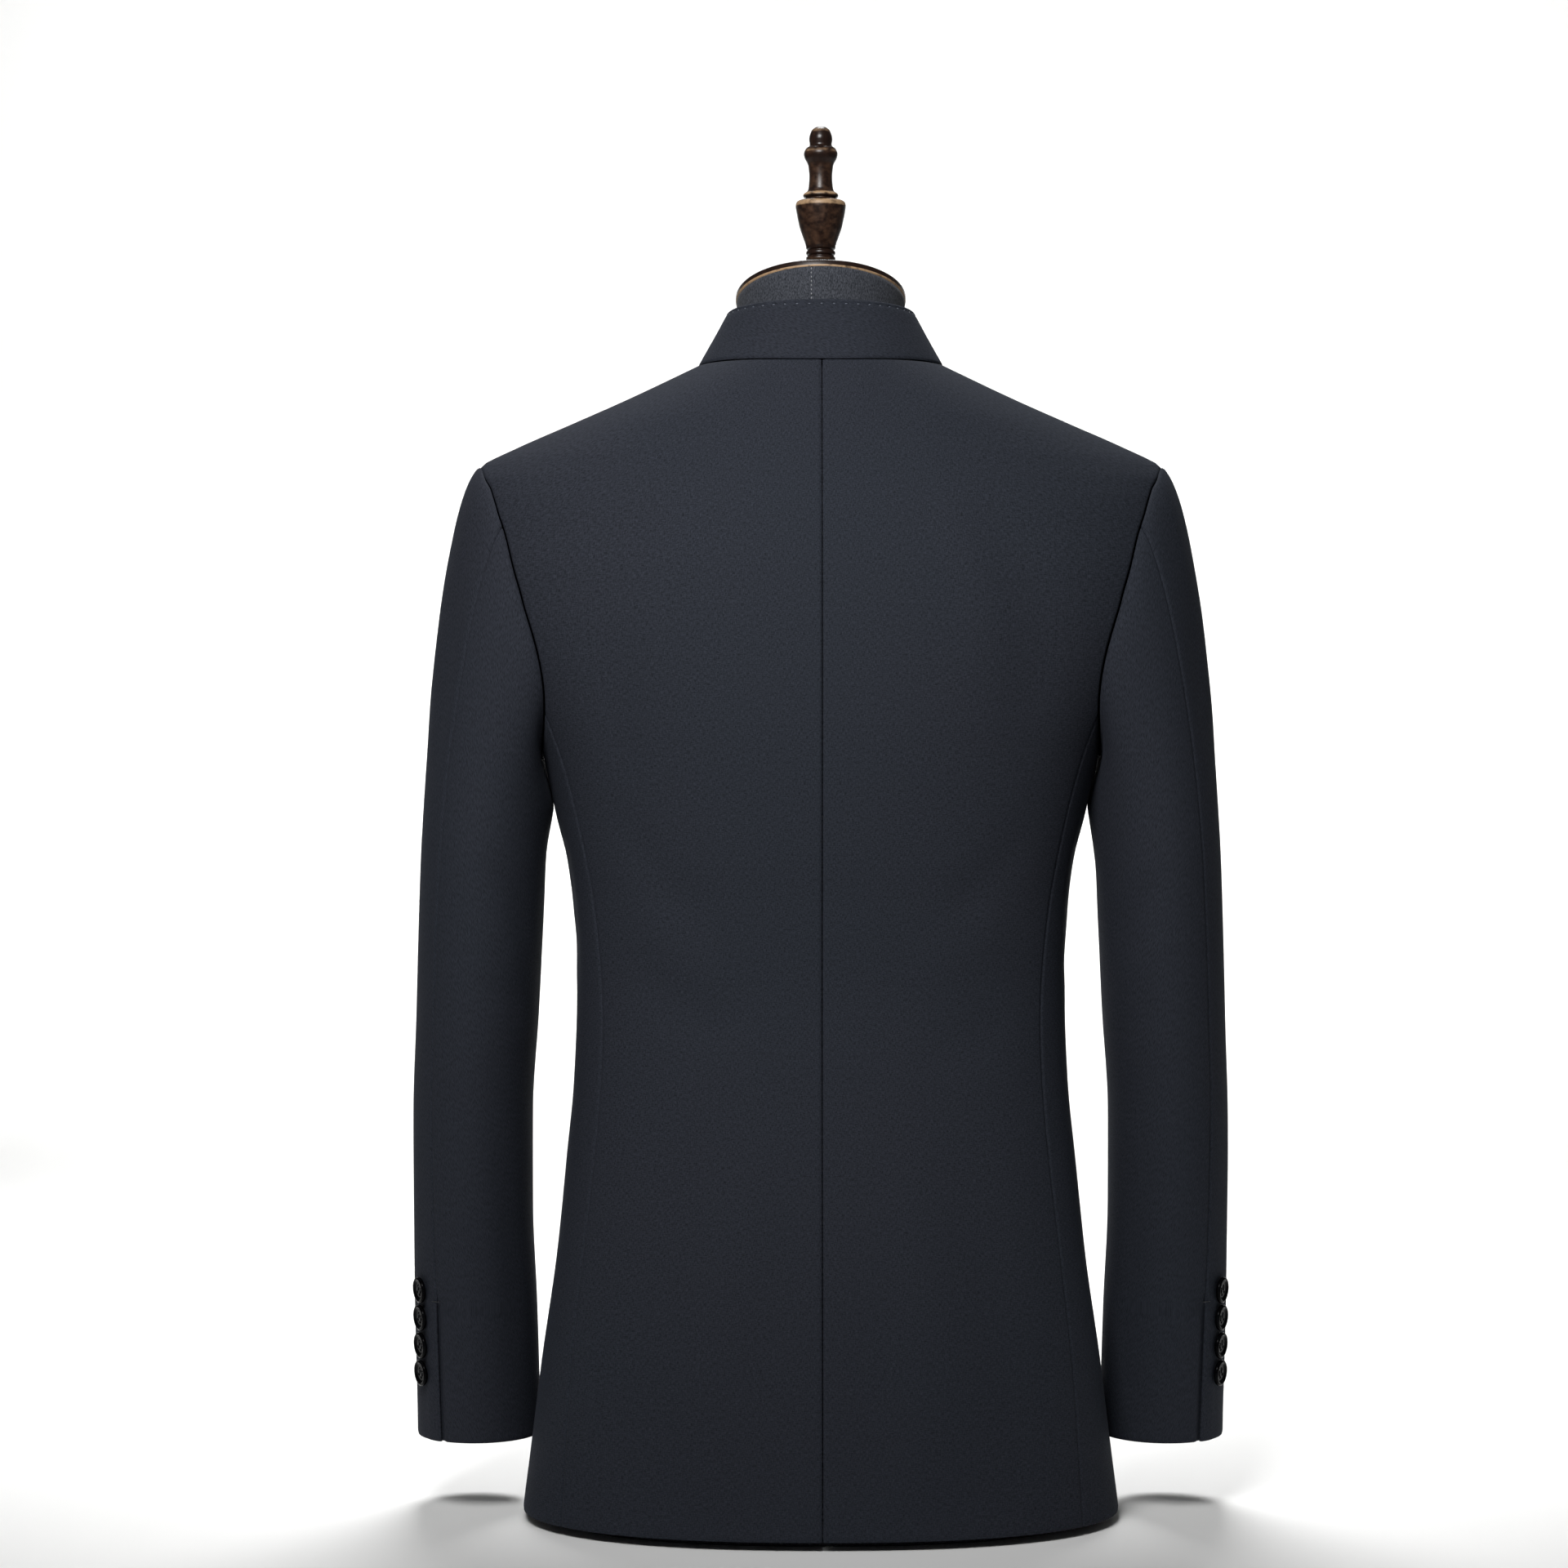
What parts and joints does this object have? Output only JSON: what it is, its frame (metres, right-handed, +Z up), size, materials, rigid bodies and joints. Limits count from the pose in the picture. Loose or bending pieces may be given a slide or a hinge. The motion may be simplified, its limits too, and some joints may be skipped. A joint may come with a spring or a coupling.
{
  "type": "zhongshan jacket on a limbless dress form",
  "caption": "Tailored stand-collar zhongshan jacket with open sleeves, buttoned over a limbless dress form with a wooden neck cap and turned finial.",
  "frame": {"origin": "in the middle of the dress form's flat base, on the surface that it stands on", "axes": "+Z up the body, -Y out of the wearer's front, +X towards the wearer's left"},
  "size_m": [0.5248, 0.2605, 0.8916],
  "materials": {
    "worsted": "matt dark navy-charcoal fine wool worsted",
    "resin_button": "polished black resin",
    "form_cloth": "stretched dark charcoal cloth over a hard shell",
    "lacquered_wood": "dark stained turned wood under worn gloss lacquer"
  },
  "bodies": {
    "root": {"back_left": "worsted", "back_right": "worsted", "side_left": "worsted", "side_right": "worsted", "front_left": "worsted", "front_right": "worsted", "stand_collar": "worsted", "chest_flap_left": "worsted", "chest_flap_right": "worsted", "hip_flap_left": "worsted", "hip_flap_right": "worsted", "front_button_1": "resin_button", "front_button_2": "resin_button", "front_button_3": "resin_button", "front_button_4": "resin_button", "front_button_5": "resin_button", "sleeve_left_top": "worsted", "sleeve_left_under": "worsted", "sleeve_right_top": "worsted", "sleeve_right_under": "worsted", "cuff_button_left_1": "resin_button", "cuff_button_left_2": "resin_button", "cuff_button_left_3": "resin_button", "cuff_button_left_4": "resin_button", "cuff_button_right_1": "resin_button", "cuff_button_right_2": "resin_button", "cuff_button_right_3": "resin_button", "cuff_button_right_4": "resin_button", "form_torso": "form_cloth", "neck_cap": "lacquered_wood", "finial": "lacquered_wood"}
  },
  "joints": []
}
